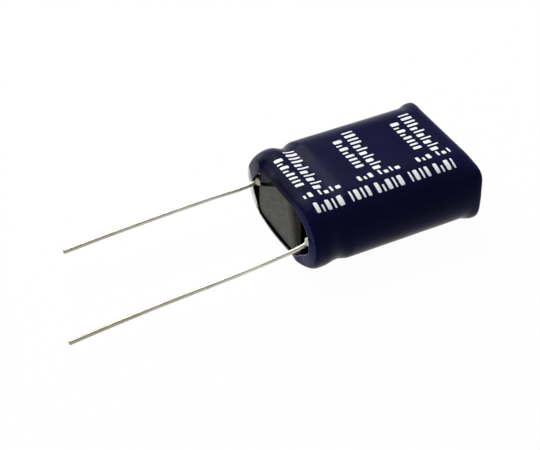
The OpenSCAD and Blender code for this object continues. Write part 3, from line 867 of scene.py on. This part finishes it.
def makeCard():
    # rings of the outline, from the middle of the front, round the edge, to the middle of the back
    edge, depth = card["edge"], card["thickness"]
    turn = np.linspace(0, np.pi / 2, card["edgeRings"])
    share = np.linspace(0, 1, card["faceRings"])
    level = np.ones(card["faceRings"])
    rise, run = edge * (1 - np.cos(turn)), edge * (1 - np.sin(turn))
    inset = np.concatenate([edge * level, run, rise, edge * level])
    scale = np.concatenate([share, np.ones(2 * len(turn)), share[::-1]])
    s = np.concatenate([0 * level, rise, depth - edge + edge * np.sin(turn), depth * level])
    x, z = roundedOutline(card["halfLength"], card["halfHeight"], card["corner"], card["columns"])
    z = np.minimum(z, card["cutHeight"] + card["cutSlope"] * (x - card["cutAt"]))
    shrinkX = 1 - inset / card["halfLength"]
    shrinkZ = 1 - inset / card["halfHeight"]
    px = (scale * shrinkX)[:, None] * x
    pz = (scale * shrinkZ)[:, None] * z
    bow = card["bow"] * (1 - (px / card["halfLength"]) ** 2)
    ps = card["front"] + s[:, None] + bow
    points = np.stack([px, ps - pack["length"] / 2, pz + pack["axisHeight"]], -1)
    faces = gridFaces(len(points), len(x), False, True)
    # painted light: lighter towards the lower near corner and darker towards the upper far one; painted shade, dull
    # brown, at the near end
    acrossCard, upCard = px / card["halfLength"], pz / card["halfHeight"]
    paintedLight = smoothStep(*card["paintedLightLimits"], acrossCard + card["paintedLightSlope"] * upCard)
    nearEndShade = smoothStep(*card["nearEndShadeLimits"], acrossCard + card["nearEndShadeSlope"] * upCard)
    cardShading = {"paintedLight": (paintedLight * (1 - nearEndShade)).reshape(-1), "nearEndShade": nearEndShade.reshape(-1)}
    piece = makePiece("grey_insulator", points.reshape(-1, 3), faces, finish["card"], cardShading)
    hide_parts("insulator_card")
    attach(piece, "root")


makeCard()
print("card made")


# pieces that keep their CAD shape
cadFinish = {
    "can": "aluminium", "link_tab": "aluminium", "tab": "aluminium", "seal": "rubber", "cell_film": "cellFilm",
    "winding": "winding", "winding_tape": "tape", "link_wire": "tinned",
}


def dressNodes():
    for end in ("positive", "negative"):
        for kind, look in cadFinish.items():
            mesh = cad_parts[end + "_" + kind].data
            mesh.materials.clear()
            mesh.materials.append(finish[look])
    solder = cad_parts["link_solder"].data
    solder.materials.clear()
    solder.materials.append(finish["solder"])


dressNodes()
print("CAD pieces dressed")


# floor, world and lamps

studio = {
    "floorSize": 1.2, "floorDrop": 0.00002, "floorColour": (0.85, 0.85, 0.85), "floorRough": 0.9, "floorGlow": 0.972,
    # the world's light, and how bright its walls and its ceiling are seen, with the heights between them
    "worldDiffuse": 0.17, "worldSeen": 1.0, "ceilingSeen": 0.35, "wallTop": 0.15, "ceilingFrom": 0.60,
    "target": (0.0, -0.004, 0.004),
    "lamps": [
        # place, size and power; each lamp is aimed at the target
        ((-0.24, -0.02, 0.34), 0.36, 2.28),
        ((-0.42, -0.14, 0.08), 0.30, 0.76),
    ],
}


def seenRay(nodes, link):
    # 1 for rays that show the background itself: from the camera, in gloss and through glass
    path = nodes.new("ShaderNodeLightPath")
    first = nodes.new("ShaderNodeMath")
    first.operation = "MAXIMUM"
    second = nodes.new("ShaderNodeMath")
    second.operation = "MAXIMUM"
    link(path.outputs["Is Camera Ray"], first.inputs[0])
    link(path.outputs["Is Glossy Ray"], first.inputs[1])
    link(first.outputs[0], second.inputs[0])
    link(path.outputs["Is Transmission Ray"], second.inputs[1])
    return second.outputs[0]


def makeFloor():
    half = studio["floorSize"] / 2 / mm
    line = np.linspace(-half, half, 3)
    x, y = np.meshgrid(line, line)
    points = np.stack([x, y, np.full_like(x, -studio["floorDrop"] / mm)], -1)
    material, nodes, link, shader, where = newMaterial("pale_floor")
    shader.inputs["Base Color"].default_value = (*studio["floorColour"], 1)
    shader.inputs["Roughness"].default_value = studio["floorRough"]
    shader.inputs["Specular IOR Level"].default_value = 0.0
    seen = seenRay(nodes, link)
    glow = nodes.new("ShaderNodeEmission")
    glow.inputs["Strength"].default_value = 1.0
    share = nodes.new("ShaderNodeMath")
    share.operation = "MULTIPLY"
    share.inputs[1].default_value = studio["floorGlow"]
    link(seen, share.inputs[0])
    mix = nodes.new("ShaderNodeMixShader")
    link(share.outputs[0], mix.inputs[0])
    link(shader.outputs[0], mix.inputs[1])
    link(glow.outputs[0], mix.inputs[2])
    link(mix.outputs[0], nodes["Material Output"].inputs["Surface"])
    floor = makePiece("floor", points.reshape(-1, 3), gridFaces(3, 3, False, False), material)


def makeWorld():
    world = bpy.data.worlds.new("studio")
    world.use_nodes = True
    bpy.context.scene.world = world
    nodes, link = world.node_tree.nodes, world.node_tree.links.new
    soft = nodes["Background"]
    soft.inputs["Color"].default_value = (1, 1, 1, 1)
    soft.inputs["Strength"].default_value = studio["worldDiffuse"]
    seen = nodes.new("ShaderNodeBackground")
    # the walls are white, and the ceiling over the lamp is dimmer
    where = nodes.new("ShaderNodeTexCoord")
    split = nodes.new("ShaderNodeSeparateXYZ")
    height = nodes.new("ShaderNodeMapRange")
    height.interpolation_type = "SMOOTHSTEP"
    height.inputs["From Min"].default_value = studio["wallTop"]
    height.inputs["From Max"].default_value = studio["ceilingFrom"]
    height.inputs["To Min"].default_value = studio["worldSeen"]
    height.inputs["To Max"].default_value = studio["ceilingSeen"]
    link(where.outputs["Generated"], split.inputs[0])
    link(split.outputs["Z"], height.inputs["Value"])
    link(height.outputs[0], seen.inputs["Strength"])
    seen.inputs["Color"].default_value = (1, 1, 1, 1)
    mix = nodes.new("ShaderNodeMixShader")
    link(seenRay(nodes, link), mix.inputs[0])
    link(soft.outputs[0], mix.inputs[1])
    link(seen.outputs[0], mix.inputs[2])
    link(mix.outputs[0], nodes["World Output"].inputs["Surface"])


def makeLamps():
    target = np.array(studio["target"])
    for number, (place, size, power) in enumerate(studio["lamps"]):
        data = bpy.data.lights.new("lamp%d" % number, "AREA")
        data.shape = "SQUARE"
        data.size = size
        data.energy = power
        lamp = bpy.data.objects.new("lamp%d" % number, data)
        bpy.context.scene.collection.objects.link(lamp)
        back = np.array(place) - target
        back = back / np.linalg.norm(back)
        right = np.cross([0, 0, 1], back)
        right = right / np.linalg.norm(right)
        columns = np.array([right, np.cross(back, right), back, place]).T
        lamp.matrix_world = Matrix(np.vstack([columns, [0, 0, 0, 1]]).tolist())


makeFloor()
makeWorld()
makeLamps()
bpy.context.scene.view_settings.view_transform = "Standard"
print("studio made")
